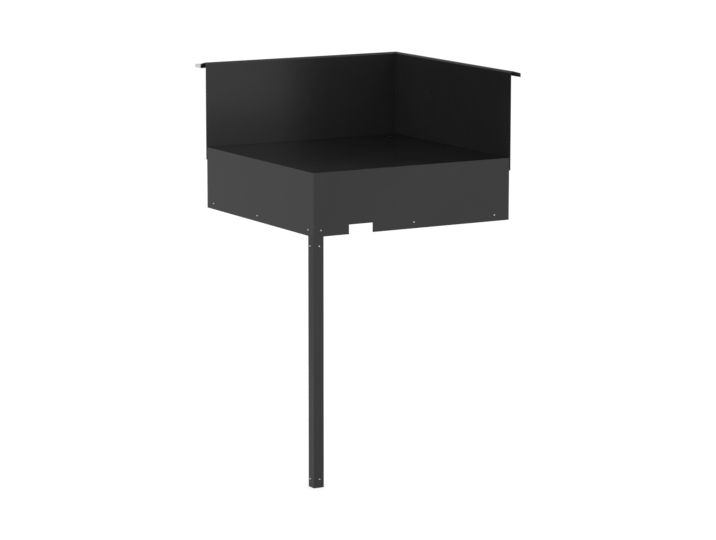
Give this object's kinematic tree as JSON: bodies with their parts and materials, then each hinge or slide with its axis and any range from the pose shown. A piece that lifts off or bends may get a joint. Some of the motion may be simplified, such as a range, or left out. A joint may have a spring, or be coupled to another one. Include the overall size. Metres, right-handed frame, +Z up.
{
  "type": "plancha grill",
  "caption": "Square corner plancha: a flat hot plate in a black sheet-steel box with two lipped rear wind shields, a gas burner underneath and a single front leg.",
  "frame": {"origin": "centre of the levelling foot's face, on the ground under the front corner", "axes": "+Z up, +X along the right side of the box, +Y along its left side"},
  "size_m": [0.6732, 0.6702, 1.0672],
  "materials": {
    "coat": "satin black powder coat",
    "hot_plate": "seasoned black rolled steel",
    "zinc": "zinc-plated folded steel",
    "stainless": "bare stainless steel",
    "burner_steel": "stainless steel with heat tint",
    "brass": "machined brass",
    "black_plastic": "fine-grained black plastic",
    "red_button": "gloss red plastic",
    "ceramic": "glazed white ceramic",
    "lead": "silicone-covered lead"
  },
  "bodies": {
    "grill": {"griddle_plate": "hot_plate", "grease_spout": "stainless", "plate_ledges": "coat", "skirt_right": "coat", "skirt_left": "coat", "rear_panel_right": "coat", "rear_panel_left": "coat", "corner_brackets": "zinc", "cross_rail_x": "zinc", "cross_rail_y": "zinc", "wind_shield_right": "coat", "wind_shield_left": "coat", "shield_corner_angle": "coat", "corner_rivets": "coat", "shield_spacers": "stainless", "shield_bolts": "stainless", "shield_nuts": "stainless", "lip_clips": "stainless", "clip_rivets": "stainless", "leg_stub": "zinc", "leg_tube": "coat", "foot_insert": "black_plastic", "panel_studs": "stainless", "panel_cap_nuts": "stainless", "leg_studs": "stainless", "leg_cap_nuts": "stainless", "burner_tray": "zinc", "tray_standoffs": "zinc", "tray_bolts": "stainless", "tray_nuts": "stainless", "burner_saddles": "zinc", "burner_tube": "burner_steel", "air_shutter": "burner_steel", "injector": "brass", "gas_valve": "brass", "valve_nut": "stainless", "control_bracket": "zinc", "gas_pipe": "brass", "hose_connector": "brass", "igniter_body": "black_plastic", "igniter_nut": "black_plastic", "igniter_spring": "stainless", "electrode_ceramic": "ceramic", "electrode_wire": "stainless", "igniter_lead": "lead", "cup_hanger": "zinc"},
    "knob": {"control_knob": "black_plastic", "valve_stem": "stainless"},
    "button": {"igniter_button": "red_button"},
    "foot": {"foot_stud": "stainless", "foot_glide": "black_plastic"},
    "cup": {"grease_cup": "stainless"}
  },
  "joints": [
    {"name": "knob_turn", "type": "hinge", "parent": "grill", "child": "knob", "pos_m": [0.126, 0.045, 0.7048], "axis": [0, 0, -1], "range_deg": [0, 225]},
    {"name": "button_press", "type": "slide", "parent": "grill", "child": "button", "axis": [0, 0, 1], "range_m": [0, 0.005], "stiffness_N_per_m": 600, "springref_m": -0.003, "deforming": ["igniter_spring"]},
    {"name": "foot_level", "type": "slide", "parent": "grill", "child": "foot", "axis": [0, 0, -1], "range_m": [0, 0.015]},
    {"name": "cup_slide", "type": "slide", "parent": "grill", "child": "cup", "axis": [-1, 0, 0], "range_m": [0, 0.08]}
  ]
}
